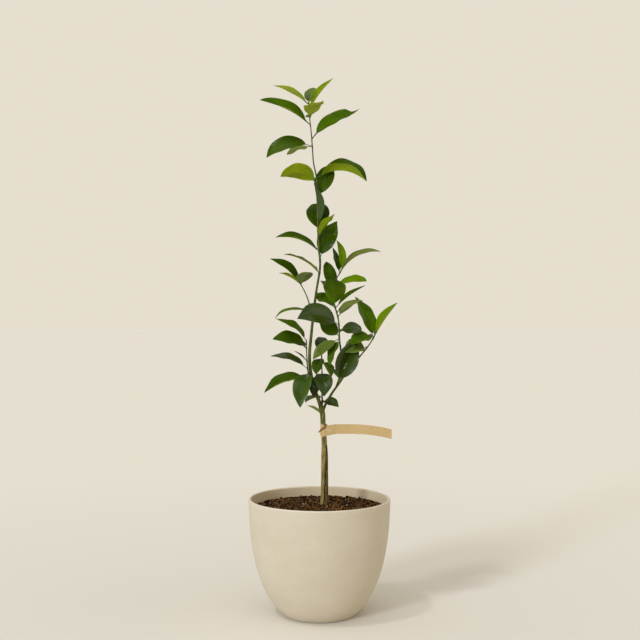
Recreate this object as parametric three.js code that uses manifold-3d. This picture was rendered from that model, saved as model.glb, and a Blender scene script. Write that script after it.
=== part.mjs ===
// Potted mandarin tree: a young grafted tree with one main stem and two boughs, standing in a
// tapered round pot that is filled with potting soil, with a blank paper tag looped round it.
// Millimetres, +Z up, +X to the right and +Y to the back as the tree is seen from the front.
// The origin is the centre of the pot's flat underside.
import * as THREE from 'three';
import Module from 'manifold-3d';

const wasm = await Module();
wasm.setup();

// Pot: a smooth bowl with a flat foot and a thin rolled lip
const RIM_RADIUS = 127;
const POT_HEIGHT = 206;
const FOOT_RADIUS = 64;
const BELLY = new THREE.Vector2(116, 45);
const SHOULDER = new THREE.Vector2(124.6, 126);
const POT_WALL = 5;
const POT_FLOOR = 9;
const LIP_RADIUS = 2.5;
const LIP_ANGLES = [45, 90, 135];
const POT_SIDES = 40;
const WALL_LEVELS = [0.03, 0.1, 0.19, 0.32, 0.52, 0.76];

// Soil: level at the wall, with a low mound round the trunk and a flat patch under its foot
const SOIL_RADIUS = 120.4;
const SOIL_EDGE = 187.5;
const EDGE_ROUNDING = 4;
const SOIL_CROWN = 194.7;
const SOIL_PATCH = 11;
const MOUND_SPREAD = 42;
const CLOD_HEIGHT = 1.8;
const SOIL_RINGS = [1, 0.68, 0.38, 0.16, 0];
const SOIL_SEED = 5;

// Clearance between two pieces that touch on the real tree
const CLEARANCE = 0.3;

// Trunk: its way from the soil to its tip, its thickness, the flare at its foot, how much thicker
// the stock is below the graft and again low down, and the swell where the right bough leaves it
const TRUNK_FOOT = new THREE.Vector3(8.8, 0, 195);
const TRUNK_RADIUS = 4.2;
const TRUNK_TIP_RADIUS = 2.1;
const ROOT_FLARE = 1.2;
const ROOT_FLARE_RISE = 11;
const STOCK_THICKER = 1.2;
const GRAFT = [330, 380];
const LOW_STOCK_THICKER = 1.2;
const LOW_STOCK = [275, 310];
const FORK_HEIGHT = 361;
const FORK_SWELL = 1.1;
const FORK_SWELL_RISE = 15;
const TRUNK = {
  way: [[8.8, 0, 195], [9, 0, 207], [9.3, 0, 240], [9.3, 0, 275], [8.8, 0, 305], [6.6, 0, 337],
    [4.6, 0, 362], [-7.5, 0, 398], [-15.5, 0, 430], [-17.7, 0, 460], [-14.3, 0, 502],
    [-8.8, 2, 552], [-5.4, 3, 577]],
  from: TRUNK_RADIUS,
  to: TRUNK_TIP_RADIUS,
  sides: 10,
  step: 17,
};

// Boughs
const RIGHT_BOUGH = {
  way: [[5, 0, 358], [12, -2, 376], [22, -4, 393], [34, -5, 410]],
  from: 2.5,
  to: 1.9,
  sides: 8,
  step: 12,
};
const CENTRE_BOUGH = {
  way: [[30, -4.7, 404.6], [35, -4, 420], [39, 0, 446], [38.4, 2, 470], [36, 2, 487]],
  from: 1.8,
  to: 1.5,
  sides: 8,
  step: 14,
};

// Stems of the shoots
const STEM_SIDES = 6;
const STEM_STEP = 14;

// Leaves: the thickness of stalk and blade, the share of the length that is stalk, the angle that
// each half of the blade is folded up, the sideways sweep, and where along it the blade is widest
const LEAF_THICKNESS = 1.1;
const STALK_RADIUS = 0.9;
const STALK_CORNERS = [150, 90, 30, -30, -90, -150];
const STALK_SHARE = 0.13;
const STALK_VARIES = 0.2;
const FOLD = 20;
const FOLD_VARIES = 0.4;
const SWEEP = 16;
const WIDEST = 0.44;
const FULLNESS = 0.72;
const BLADE_STATIONS = [0.13, 0.38, 0.64, 0.85];
const LINE_STEPS = 16;

// Room that a leaf on the far side keeps from the limbs and from other leaves
const LIMB_MARKS = 24;
const LIMB_ROOM = 2;
const LEAF_MARKS = [0.4, 0.6, 0.8, 1];
const LEAF_ROOM = 0.35;

// Leaves on the far side of a shoot: each stands behind one on the near side, turned back at least
// so far past straight sideways, a little smaller, joined a little lower and rolled at most so far.
// It rises by as much as the near one needs to hide it, seen from this height and distance.
const FAR_NEAREST = 55;
const FAR_LENGTH = [0.8, 1];
const FAR_WIDTH = 0.9;
const FAR_DROP = [0, 2];
const FAR_LOWEST = 3;
const FAR_ROLL = 40;
const EYE_LEVEL = 529;
const EYE_DISTANCE = 1775;
const HALF_TURN = 180;

// Each shoot: its stem, and a row for each leaf that shows from the front with the height of its
// joint, its bearing (0 right, 90 back, 180 left, 270 front), its rise, its length and its width,
// how far it arches over and how far it is rolled about its own line
const LEADER = {
  seed: 11,
  way: [[-5.3, 3, 577.4], [0.4, 5, 614], [1, 5, 630], [-1, 4, 652], [-2.5, 3, 690], [-4.5, 2, 754],
    [-5.5, 1, 782], [-10.5, 0, 806], [-13, 0, 838], [-14.5, 0, 858], [-17.2, 0, 884],
    [-19.3, 0, 916]],
  from: 2.1,
  to: 0.8,
  leaves: [
    [911, 189, 25, 72, 24, 34, -10],
    [900, 6, 52, 73, 20, 25, 30],
    [912, 73, 52, 44, 24, 30, 0],
    [887, 292, 17, 54, 38, 44, -5],
    [874, 187, 23, 101, 38, 35, 38],
    [849, 355, 26, 100, 32, 52, -58],
    [835, 186, -17, 92, 38, 80, 45],
    [836, 150, -14, 56, 34, 30, 0],
    [769, 206, 4, 78, 38, 80, -46],
    [779, 350, -9, 100, 56, 85, -15],
    [741, 28, 63, 74, 36, 20, -60],
    [693, 244, 77, 78, 30, 30, 50],
    [684, 90, 51, 70, 47, 25, 0],
    [672, 320, 43, 54, 22, 40, 0],
    [633, 28, 62, 78, 38, 25, -60],
    [648, 191, 15, 86, 38, 54, 25],
    [609, 187, 26, 74, 30, 45, 0],
  ],
};
const LEFT_UPPER = {
  seed: 23,
  way: [[-11.4, 1, 527], [-15, -4, 542], [-22.5, -6, 567], [-34, -7, 590]],
  from: 1.4,
  to: 0.9,
  leaves: [
    [587, 191, 38, 74, 36, 34, 32],
    [588, 207, 24, 48, 18, 30, 0],
    [588, 294, 27, 44, 30, 20, 0],
    [538, 188, -8, 70, 20, 60, 5],
  ],
};
const LEFT_LOWER = {
  seed: 37,
  way: [[-14.5, 0, 417], [-19.5, -4, 428], [-22.5, -5, 456], [-23, -5, 488]],
  from: 1.4,
  to: 0.9,
  leaves: [
    [486, 195, 31, 70, 34, 60, 32],
    [474, 194, 11, 68, 32, 70, 45],
    [451, 168, 37, 30, 10, 20, 0],
    [437, 170, 16, 74, 28, 50, 15],
    [420, 190, -19, 90, 38, 46, 25],
    [430, 255, -50, 85, 36, 80, 0],
  ],
};
const INNER = {
  seed: 41,
  way: [[5, 0, 364], [5, 3, 376], [4.5, 6, 400], [4.5, 6, 430], [4, 6, 464]],
  from: 1.5,
  to: 0.9,
  leaves: [
    [385, 137, -16, 45, 26, 40, 0],
    [426, 248, -46, 57, 26, 60, 0],
    [430, 274, -44, 62, 34, 60, 0],
    [460, 90, 39, 52, 28, 30, 0],
    [457, 256, -40, 50, 24, 50, 0],
    [450, 63, -40, 50, 22, 50, 0],
    [378, 324, -14, 38, 20, 50, -45],
  ],
};
const CENTRE = {
  seed: 53,
  way: [[35.9, 2, 487.4], [34, 1, 524], [26, 0, 556], [24.5, 0, 576], [27, 0, 592],
    [38.5, 2, 612]],
  from: 1.5,
  to: 0.9,
  leaves: [
    [575, 118, 64, 62, 26, 20, 0],
    [491, 204, -36, 64, 28, 24, 24],
    [490, 230, -62, 56, 24, 40, 0],
    [505, 343, -4, 44, 26, 60, -50],
    [515, 211, 5, 92, 46, 66, 60],
    [495, 147, 30, 50, 28, 20, 60],
    [608, 135, 70, 51, 20, 10, 0],
    [611, 200, 80, 60, 14, 60, 105],
    [611, 354, 24, 86, 26, 70, 15],
    [584, 325, 6, 72, 30, 30, -30],
    [545, 150, 30, 50, 38, 30, 20],
    [548, 258, 50, 62, 50, 30, 0],
    [568, 122, 33, 52, 24, 30, 0],
    [546, 349, 35, 68, 20, 25, 5],
    [537, 32, 32, 46, 12, 30, 0],
    [530, 336, 30, 58, 26, 40, 24],
  ],
};
const RIGHT = {
  seed: 67,
  way: [[34.2, -5, 410.4], [47, -1, 428], [65, 3, 450], [85, 5, 474], [98.5, 6, 494]],
  from: 1.8,
  to: 1.0,
  leaves: [
    [411, 358, 67, 86, 56, 16, -94],
    [416, 128, 36, 38, 15, 20, 0],
    [474, 208, -12, 48, 38, 50, 44],
    [492, 212, -15, 52, 34, 50, 35],
    [492, 142, 61, 86, 42, 20, 10],
    [493, 353, 55, 75, 32, 15, -25],
  ],
};

// Paper tag: a strip looped round the trunk, with its flag out to the right
const TAG_HEIGHT = 17;
const TAG_THICKNESS = 0.6;
const TAG_BOTTOM = 320.7;
const TAG_CENTRE = 7.3;
const TAG_LOOP_RADIUS = 5.7;
const TAG_MEETS = 25;
const TAG_HOLE_POINT = 22;
const TAG_REACH = 130;
const TAG_DROOP = 10;
const TAG_DROOP_FROM = 55;
const TAG_CURVE = 7;
const TAG_STEPS = 6;
const LOOP_STEPS = 14;

// Finishes
const finish = (color, roughness) => new THREE.MeshStandardMaterial({
  color,
  roughness,
  metalness: 0,
});
const stone = finish('#cdc1ab', 0.85);
const earth = finish('#2e1f15', 1.0);
const bark = finish('#7d7440', 0.75);
const leafGreen = finish('#3f6a1c', 0.45);
const kraft = finish('#c6a873', 0.9);

const radians = THREE.MathUtils.degToRad;
const degrees = THREE.MathUtils.radToDeg;
const mix = THREE.MathUtils.lerp;

// The same row of draws from 0 to 1 each time, for a given seed
const DRAW_FACTOR = 1664525;
const DRAW_STEP = 1013904223;
const DRAW_RANGE = 2 ** 32;
function seededDraws(seed) {
  let state = seed;
  return () => {
    state = (Math.imul(state, DRAW_FACTOR) + DRAW_STEP) >>> 0;
    return state / DRAW_RANGE;
  };
}

// A size that varies by a part of itself, up or down
const vary = (size, part, draw) => size * (1 + part * (2 * draw() - 1));

// A closed surface over rings of equal length; the first and last entries are single points
function skin(rings) {
  const positions = [];
  const index = [];
  const starts = rings.map((ring) => {
    const start = positions.length / 3;
    ring.forEach((point) => positions.push(point.x, point.y, point.z));
    return start;
  });
  const around = rings[1].length;
  const last = rings.length - 1;
  for (let j = 0; j < around; j += 1) {
    const k = (j + 1) % around;
    index.push(starts[0], starts[1] + k, starts[1] + j);
    for (let i = 1; i < last - 1; i += 1) {
      const low = starts[i];
      const high = starts[i + 1];
      index.push(low + j, low + k, high + k, low + j, high + k, high + j);
    }
    index.push(starts[last], starts[last - 1] + j, starts[last - 1] + k);
  }
  const geometry = new THREE.BufferGeometry();
  geometry.setAttribute('position', new THREE.Float32BufferAttribute(positions, 3));
  geometry.setIndex(index);
  return geometry;
}

function toSolid(geometry) {
  return new wasm.Manifold(new wasm.Mesh({
    numProp: 3,
    vertProperties: new Float32Array(geometry.getAttribute('position').array),
    triVerts: new Uint32Array(geometry.getIndex().array),
  }));
}

function toGeometry(solid) {
  const mesh = solid.getMesh();
  const geometry = new THREE.BufferGeometry();
  geometry.setAttribute('position', new THREE.BufferAttribute(mesh.vertProperties, 3));
  geometry.setIndex(new THREE.BufferAttribute(mesh.triVerts, 1));
  return geometry;
}

// The pot's outline from foot to lip, moved in from its outer face by a distance
function potOutline(inset) {
  const top = new THREE.Vector2(RIM_RADIUS, POT_HEIGHT - LIP_RADIUS);
  const foot = new THREE.Vector2(FOOT_RADIUS, 0);
  const curve = new THREE.CubicBezierCurve(foot, BELLY, SHOULDER, top);
  return [0, ...WALL_LEVELS, 1].map((t) => {
    const along = curve.getTangent(t);
    return curve.getPoint(t).add(new THREE.Vector2(-along.y, along.x).multiplyScalar(inset));
  });
}

// Where the inside of the wall, or the soil that is a gap in from it, stands on the pot's floor
function wallPoints(inset, floor) {
  const points = potOutline(inset);
  const next = points.findIndex((point) => point.y > floor);
  const low = points[next - 1];
  const high = points[next];
  const share = (floor - low.y) / (high.y - low.y);
  return [low.clone().lerp(high, share), ...points.slice(next)];
}

function pot() {
  const outer = potOutline(0);
  const inner = wallPoints(POT_WALL, POT_FLOOR).reverse();
  const lipCentre = new THREE.Vector2(RIM_RADIUS - LIP_RADIUS, POT_HEIGHT - LIP_RADIUS);
  const lip = LIP_ANGLES.map((angle) => new THREE.Vector2(
    Math.cos(radians(angle)) * LIP_RADIUS,
    Math.sin(radians(angle)) * LIP_RADIUS,
  ).add(lipCentre));
  const underside = new THREE.Vector2(0, 0);
  const floor = new THREE.Vector2(0, POT_FLOOR);
  const profile = [underside, ...outer, ...lip, ...inner, floor];
  return new THREE.LatheGeometry(profile, POT_SIDES).rotateX(Math.PI / 2);
}

function soilHeight(distance) {
  const out = Math.max(0, distance - SOIL_PATCH) / MOUND_SPREAD;
  return SOIL_EDGE + (SOIL_CROWN - SOIL_EDGE) * Math.exp(-out * out);
}

function soil() {
  const draw = seededDraws(SOIL_SEED);
  const wall = wallPoints(POT_WALL + CLEARANCE, POT_FLOOR + CLEARANCE);
  const below = wall.filter((point) => point.y < SOIL_EDGE - EDGE_ROUNDING);
  const angles = Array.from({ length: POT_SIDES }, (_, i) => (i * 2 * Math.PI) / POT_SIDES);
  const rings = [[new THREE.Vector3(0, 0, POT_FLOOR + CLEARANCE)]];
  below.forEach((point) => {
    rings.push(angles.map((a) => new THREE.Vector3(
      Math.cos(a) * point.x,
      Math.sin(a) * point.x,
      point.y,
    )));
  });
  SOIL_RINGS.forEach((share) => {
    rings.push(angles.map((a) => {
      const reach = new THREE.Vector3(Math.cos(a), Math.sin(a), 0);
      const place = TRUNK_FOOT.clone().addScaledVector(reach, SOIL_PATCH)
        .lerp(reach.clone().multiplyScalar(SOIL_RADIUS), share);
      const clod = share > 0 ? CLOD_HEIGHT * (draw() - 0.5) : 0;
      const distance = Math.hypot(place.x - TRUNK_FOOT.x, place.y - TRUNK_FOOT.y);
      return place.setZ(soilHeight(distance) + clod);
    }));
  });
  rings.push([new THREE.Vector3(TRUNK_FOOT.x, TRUNK_FOOT.y, SOIL_CROWN)]);
  return skin(rings);
}

function curveOf(limb) {
  return new THREE.CatmullRomCurve3(limb.way.map((point) => new THREE.Vector3(...point)));
}

// A round tapering limb along its way, with extra thickness given by its height
function limb(shape, extra = () => 0) {
  const curve = curveOf(shape);
  const count = Math.max(3, Math.ceil(curve.getLength() / shape.step));
  const frames = curve.computeFrenetFrames(count);
  const rings = [[curve.getPointAt(0)]];
  for (let i = 0; i <= count; i += 1) {
    const centre = curve.getPointAt(i / count);
    const radius = mix(shape.from, shape.to, i / count) + extra(centre.z);
    rings.push(Array.from({ length: shape.sides }, (_, j) => {
      const angle = (j * 2 * Math.PI) / shape.sides;
      return centre.clone()
        .addScaledVector(frames.normals[i], Math.cos(angle) * radius)
        .addScaledVector(frames.binormals[i], Math.sin(angle) * radius);
    }));
  }
  rings.push([curve.getPointAt(1)]);
  return skin(rings);
}

function trunkThickening(height) {
  const flare = ROOT_FLARE * Math.exp(-(height - TRUNK_FOOT.z) / ROOT_FLARE_RISE);
  const swell = FORK_SWELL * Math.exp(-(((height - FORK_HEIGHT) / FORK_SWELL_RISE) ** 2));
  const stock = STOCK_THICKER * (1 - THREE.MathUtils.smoothstep(height, ...GRAFT));
  const low = LOW_STOCK_THICKER * (1 - THREE.MathUtils.smoothstep(height, ...LOW_STOCK));
  return stock + low + flare + swell;
}

const grown = (extra) => (height) => extra(height) + CLEARANCE;
const plain = () => 0;

// The line of one leaf from its joint to its tip, with the blade's side and upper directions
function leafLine(joint, row, sweep) {
  const [, bearing, rise, long, , arch, roll] = row;
  const place = joint.clone();
  const line = [];
  for (let i = 0; i <= LINE_STEPS; i += 1) {
    const share = i / LINE_STEPS;
    const turn = radians(bearing + sweep * (share - 0.5));
    const lift = radians(rise + arch * (0.5 - share));
    const along = new THREE.Vector3(
      Math.cos(lift) * Math.cos(turn),
      Math.cos(lift) * Math.sin(turn),
      Math.sin(lift),
    );
    const level = new THREE.Vector3(Math.sin(turn), -Math.cos(turn), 0);
    const up = level.clone().cross(along);
    const side = level.multiplyScalar(Math.cos(radians(roll)))
      .addScaledVector(up, Math.sin(radians(roll)));
    line.push({ place: place.clone(), along, side, up: side.clone().cross(along) });
    place.addScaledVector(along, long / LINE_STEPS);
  }
  return line;
}

function onLine(line, share) {
  const at = Math.min(share, 1) * (line.length - 1);
  const low = Math.min(Math.floor(at), line.length - 2);
  const part = at - low;
  const blend = (key) => line[low][key].clone().lerp(line[low + 1][key], part);
  return { place: blend('place'), along: blend('along'), side: blend('side'), up: blend('up') };
}

// Half the blade's width at a share of its length
function halfWidth(wide, share) {
  const low = (share / WIDEST) ** FULLNESS;
  const high = ((1 - share) / (1 - WIDEST)) ** (FULLNESS * (1 - WIDEST) / WIDEST);
  return (wide / 2) * low * high;
}

function leafOf(joint, row, draw) {
  const stalk = vary(STALK_SHARE, STALK_VARIES, draw);
  const sweep = SWEEP * (draw() - 0.5);
  const fold = radians(vary(FOLD, FOLD_VARIES, draw));
  return { line: leafLine(joint, row, sweep), wide: row[4], stalk, fold };
}

// One leaf: a six-sided stalk that opens into a folded blade
function leafSolid(leaf) {
  const rings = [[leaf.line[0].place]];
  [0, leaf.stalk].forEach((share) => {
    const { place, side, up } = onLine(leaf.line, share);
    rings.push(STALK_CORNERS.map((angle) => place.clone()
      .addScaledVector(side, Math.cos(radians(angle)) * STALK_RADIUS)
      .addScaledVector(up, Math.sin(radians(angle)) * STALK_RADIUS)));
  });
  BLADE_STATIONS.forEach((station) => {
    const { place, side, up } = onLine(leaf.line, mix(leaf.stalk, 1, station));
    const half = halfWidth(leaf.wide, station);
    const out = side.clone().multiplyScalar(Math.cos(leaf.fold) * half);
    const lift = up.clone().multiplyScalar(Math.sin(leaf.fold) * half);
    const low = up.clone().multiplyScalar(-LEAF_THICKNESS);
    const top = [place.clone().sub(out).add(lift), place, place.clone().add(out).add(lift)];
    rings.push([...top, ...top.map((point) => point.clone().add(low)).reverse()]);
  });
  rings.push([onLine(leaf.line, 1).place]);
  return toSolid(skin(rings));
}

// The point of a shoot's stem at a given height, found by halving
const JOINT_PRECISION = 1e-6;
function jointAt(curve, height) {
  let low = 0;
  let high = 1;
  while (high - low > JOINT_PRECISION) {
    const middle = (low + high) / 2;
    if (curve.getPoint(middle).z < height) low = middle;
    else high = middle;
  }
  return curve.getPoint(low);
}

// For each leaf that points forwards, one that starts out along the same line but turned to the
// far side, with its blade edge-on to the front, so that the near one hides it
function farRows(shoot, draw) {
  const lowest = shoot.way[0][2] + FAR_LOWEST;
  const near = shoot.leaves.filter(([, bearing]) => bearing >= HALF_TURN);
  return near.map(([height, bearing, rise, long, wide, arch]) => {
    const turned = Math.max(2 * HALF_TURN - bearing, FAR_NEAREST);
    const far = Math.min(turned, HALF_TURN - FAR_NEAREST);
    const reach = Math.abs(Math.cos(radians(far)) / Math.cos(radians(bearing)));
    const size = mix(...FAR_LENGTH, draw());
    const joint = Math.max(height - mix(...FAR_DROP, draw()), lowest);
    const back = Math.sin(radians(far)) + reach * Math.abs(Math.sin(radians(bearing)));
    const tilt = (height - EYE_LEVEL) / EYE_DISTANCE * back;
    const [start, end] = [0, size * reach].map((share) => {
      const slope = Math.tan(radians(rise + arch * (0.5 - share)));
      return degrees(Math.atan(slope * reach + tilt));
    });
    const middle = (start + end) / 2;
    const edge = degrees(Math.atan(Math.tan(radians(far)) * Math.sin(radians(middle))));
    const roll = THREE.MathUtils.clamp(edge, -FAR_ROLL, FAR_ROLL);
    return [joint, far, middle, long * size, wide * FAR_WIDTH, start - end, roll];
  });
}

// A leaf keeps off the limbs and off the leaves of the other shoots
const taken = [];
const take = (places, room) => places.forEach((place) => taken.push({ place, room }));
const marks = (leaf) => LEAF_MARKS.map((share) => onLine(leaf.line, share).place);
const takeLeaf = (leaf) => take(marks(leaf), leaf.wide * LEAF_ROOM);
const keepsOff = (leaf) => marks(leaf).every((mark) => taken.every(
  ({ place, room }) => place.distanceTo(mark) > room + leaf.wide * LEAF_ROOM,
));

function leavesOf(shoot) {
  const draw = seededDraws(shoot.seed);
  const curve = curveOf(shoot);
  const showing = shoot.leaves.map((row) => leafOf(jointAt(curve, row[0]), row, draw));
  const far = farRows(shoot, draw).map((row) => leafOf(jointAt(curve, row[0]), row, draw));
  return { showing, far };
}

const trunkShape = limb(TRUNK, trunkThickening);
const limbs = [[TRUNK, trunkThickening], [RIGHT_BOUGH, plain], [CENTRE_BOUGH, plain]];
const clearOf = (solid, others) => others.reduce(
  (rest, [shape, extra]) => rest.subtract(toSolid(limb(shape, grown(extra)))),
  solid,
);

limbs.forEach(([shape]) => take(
  curveOf(shape).getSpacedPoints(LIMB_MARKS),
  shape.from + LIMB_ROOM,
));

const SHOOTS = [LEADER, LEFT_UPPER, LEFT_LOWER, INNER, CENTRE, RIGHT];
const leaves = new Map(SHOOTS.map((shoot) => [shoot, leavesOf(shoot)]));
leaves.forEach(({ showing }) => showing.forEach(takeLeaf));

// One mass: the stem of a shoot with its leaves fused on, cut clear of the limbs
function foliage(shoot) {
  const { showing, far } = leaves.get(shoot);
  const kept = far.filter((leaf) => {
    const clear = keepsOff(leaf);
    if (clear) takeLeaf(leaf);
    return clear;
  });
  let solid = toSolid(limb({ ...shoot, sides: STEM_SIDES, step: STEM_STEP }));
  [...showing, ...kept].forEach((leaf) => {
    solid = solid.add(leafSolid(leaf));
  });
  return toGeometry(clearOf(solid, limbs));
}

// The tag's outline from above: a loop that draws to a point, and the flag beyond it
function tag() {
  const outer = TAG_LOOP_RADIUS + TAG_THICKNESS;
  const half = TAG_THICKNESS / 2;
  const lean = Math.acos(outer / (TAG_MEETS - TAG_CENTRE));
  const shape = new THREE.Shape();
  shape.moveTo(TAG_REACH, -half);
  for (let i = 0; i <= TAG_STEPS; i += 1) {
    shape.lineTo(mix(TAG_REACH, TAG_MEETS, i / TAG_STEPS), half);
  }
  shape.absarc(TAG_CENTRE, 0, outer, lean, 2 * Math.PI - lean, false);
  for (let i = 0; i <= TAG_STEPS; i += 1) {
    shape.lineTo(mix(TAG_MEETS, TAG_REACH, i / TAG_STEPS), -half);
  }
  const hole = new THREE.Path();
  hole.moveTo(TAG_HOLE_POINT, 0);
  hole.absarc(TAG_CENTRE, 0, TAG_LOOP_RADIUS, lean, 2 * Math.PI - lean, false);
  hole.lineTo(TAG_HOLE_POINT, 0);
  shape.holes.push(hole);
  const geometry = new THREE.ExtrudeGeometry(shape, {
    depth: TAG_HEIGHT,
    bevelEnabled: false,
    curveSegments: LOOP_STEPS,
  });
  const place = geometry.getAttribute('position');
  for (let i = 0; i < place.count; i += 1) {
    const out = Math.max(0, place.getX(i) - TAG_DROOP_FROM) / (TAG_REACH - TAG_DROOP_FROM);
    place.setY(i, place.getY(i) + TAG_CURVE * out * out);
    place.setZ(i, place.getZ(i) + TAG_BOTTOM - TAG_DROOP * out * out);
  }
  return geometry;
}

function piece(name, geometry, material) {
  const mesh = new THREE.Mesh(geometry, material);
  mesh.name = name;
  return mesh;
}

const tree = new THREE.Group();
tree.add(
  piece('pot', pot(), stone),
  piece('soil', soil(), earth),
  piece('trunk', trunkShape, bark),
  piece('right_bough', toGeometry(clearOf(toSolid(limb(RIGHT_BOUGH)), limbs.slice(0, 1))), bark),
  piece('centre_bough', toGeometry(clearOf(toSolid(limb(CENTRE_BOUGH)), limbs.slice(0, 2))), bark),
  piece('leader_foliage', foliage(LEADER), leafGreen),
  piece('left_upper_foliage', foliage(LEFT_UPPER), leafGreen),
  piece('left_lower_foliage', foliage(LEFT_LOWER), leafGreen),
  piece('inner_foliage', foliage(INNER), leafGreen),
  piece('centre_foliage', foliage(CENTRE), leafGreen),
  piece('right_foliage', foliage(RIGHT), leafGreen),
  piece('tag', tag(), kraft),
);

export default tree;
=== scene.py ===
from math import atan, atan2, ceil, cos, degrees, exp, hypot, pi, radians, sin, sqrt, tan, tau

import bpy
from mathutils import Euler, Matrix, Vector, geometry, noise


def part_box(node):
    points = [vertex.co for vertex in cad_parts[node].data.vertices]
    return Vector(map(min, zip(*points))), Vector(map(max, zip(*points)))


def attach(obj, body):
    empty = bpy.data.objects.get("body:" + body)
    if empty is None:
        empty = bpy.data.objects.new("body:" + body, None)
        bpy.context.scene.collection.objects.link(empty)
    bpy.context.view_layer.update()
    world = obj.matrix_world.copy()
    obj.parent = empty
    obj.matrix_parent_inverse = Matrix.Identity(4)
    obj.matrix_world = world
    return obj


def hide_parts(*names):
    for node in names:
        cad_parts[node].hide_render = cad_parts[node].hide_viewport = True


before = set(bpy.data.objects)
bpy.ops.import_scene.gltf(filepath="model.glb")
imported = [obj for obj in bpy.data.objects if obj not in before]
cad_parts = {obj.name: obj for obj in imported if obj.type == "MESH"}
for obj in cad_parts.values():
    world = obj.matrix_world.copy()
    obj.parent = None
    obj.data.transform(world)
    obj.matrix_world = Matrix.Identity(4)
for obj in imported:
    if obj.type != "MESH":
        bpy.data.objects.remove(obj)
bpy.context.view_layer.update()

MM = 0.001

# Pot: a smooth round bowl of pale cast stone on a flat foot, with a thin rolled lip. It is cast
# in one mould, so the wall is even, and its face has only faint clouds and small pores. The top of
# the lip is painted paler as a painted highlight, and the inside of the wall near the top is a warmer stone.
POT_WALL = 5 * MM
POT_FLOOR = 9 * MM
LIP_RADIUS = 2.5 * MM
FOOT_ROUNDING = 1.6 * MM
FOOT_EDGE = (0.1 * MM, 0.5 * MM)
FOOT_RADIUS = 64 * MM
BELLY = Vector((116, 0, 45)) * MM
SHOULDER = Vector((124.6, 0, 126)) * MM
WARM_INNER_FROM = 175 * MM
POT_STEPS = 144
WALL_RINGS = 34
SEAM = 0.01 * MM
LIP_TURN = range(20, 180, 20)
FLAT_TO = 0.3 * MM
UNEVEN_SIZE = 45 * MM
UNEVEN_DEPTH = 0.5 * MM
STONE, WARM_INNER, LIP_HIGHLIGHT = range(3)
rim_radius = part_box("pot")[1].x
pot_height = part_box("pot")[1].z


def rgb(red, green, blue):
    """A colour as it is read off, from 0 to 255, as the shader wants it."""
    parts = [part / 255 for part in (red, green, blue)]
    return [part / 12.92 if part < 0.04045 else ((part + 0.055) / 1.055) ** 2.4 for part in parts] + [1]


def grey(share):
    """A grey that darkens what it is laid over where it is below 1, and lightens it above."""
    return [share] * 3 + [1]


def surface(made, socket):
    return made.node_tree.nodes["Principled BSDF"].inputs[socket]


def feed(made, value, socket):
    """Gives a socket a value of its own, or the link where the value is one."""
    if isinstance(value, bpy.types.NodeSocket):
        made.node_tree.links.new(value, socket)
    else:
        socket.default_value = value


def material(name, base, roughness, gloss):
    """A new material, which has a plain base colour until it is painted."""
    made = bpy.data.materials.new(name)
    made.use_nodes = True
    for socket, value in (("Base Color", base), ("Roughness", roughness), ("Specular IOR Level", gloss)):
        feed(made, value, surface(made, socket))
    return made


def paint(made, tone):
    feed(made, tone, surface(made, "Base Color"))


def split_place(made, place):
    """The three parts of a place, each of which can be linked."""
    split = made.node_tree.nodes.new("ShaderNodeSeparateXYZ")
    feed(made, place, split.inputs["Vector"])
    return split.outputs


def pattern(made, kind, stretch, **settings):
    """A pattern node on the piece's own coordinates, drawn together by a stretch above 1."""
    nodes = made.node_tree.nodes
    place = nodes.new("ShaderNodeTexCoord")
    mapping = nodes.new("ShaderNodeMapping")
    mapping.inputs["Scale"].default_value = stretch
    node = nodes.new(kind)
    for name, value in settings.items():
        node.inputs[name].default_value = value
    feed(made, place.outputs["Object"], mapping.inputs["Vector"])
    feed(made, mapping.outputs["Vector"], node.inputs["Vector"])
    return node.outputs[0]


def cloudy(made, scale, detail, roughness, stretch=(1, 1, 1)):
    return pattern(made, "ShaderNodeTexNoise", stretch, Scale=scale, Detail=detail, Roughness=roughness)


def ramp(made, value, stops):
    """Colours dealt out along a value from 0 to 1."""
    node = made.node_tree.nodes.new("ShaderNodeValToRGB")
    elements = node.color_ramp.elements
    while len(elements) < len(stops):
        elements.new(0.5)
    for element, (position, shade) in zip(elements, stops):
        element.position = position
        element.color = shade
    feed(made, value, node.inputs["Fac"])
    return node.outputs["Color"]


def blend(made, share, first, second, mode="MULTIPLY"):
    """Two colours or links laid over each other by a share, which is a number or a link."""
    node = made.node_tree.nodes.new("ShaderNodeMix")
    node.data_type = "RGBA"
    node.blend_type = mode
    for name, value in (("Factor_Float", share), ("A_Color", first), ("B_Color", second)):
        feed(made, value, next(s for s in node.inputs if s.identifier == name))
    return next(s for s in node.outputs if s.identifier == "Result_Color")


def relief(made, height, depth, below=None):
    """Fine relief from a height pattern, laid over an earlier relief where there is one."""
    node = made.node_tree.nodes.new("ShaderNodeBump")
    node.inputs["Distance"].default_value = depth
    feed(made, height, node.inputs["Height"])
    if below:
        feed(made, below, node.inputs["Normal"])
    feed(made, node.outputs["Normal"], surface(made, "Normal"))
    return node.outputs["Normal"]


def placed(name, data):
    """An object at the origin that holds a mesh, a lamp or a lens."""
    made = bpy.data.objects.new(name, data)
    bpy.context.scene.collection.objects.link(made)
    return made


def alone(piece):
    """Selects one object and nothing else."""
    bpy.ops.object.select_all(action="DESELECT")
    piece.select_set(True)
    bpy.context.view_layer.objects.active = piece


def new_piece(name, points, faces, materials, slots=None, uv=None, edges=()):
    """An object at the origin with its place in its mesh, selected alone."""
    mesh = bpy.data.meshes.new(name)
    mesh.from_pydata(points, edges, faces)
    for finish in materials:
        mesh.materials.append(finish)
    if slots:
        mesh.polygons.foreach_set("material_index", slots)
    if uv:
        layer = mesh.uv_layers.new(name="UVMap")
        for loop in mesh.loops:
            layer.data[loop.index].uv = uv[loop.vertex_index]
    piece = placed(name, mesh)
    alone(piece)
    return piece


def smooth(piece, angle=35):
    alone(piece)
    bpy.ops.object.shade_smooth_by_angle(angle=radians(angle))


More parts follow.
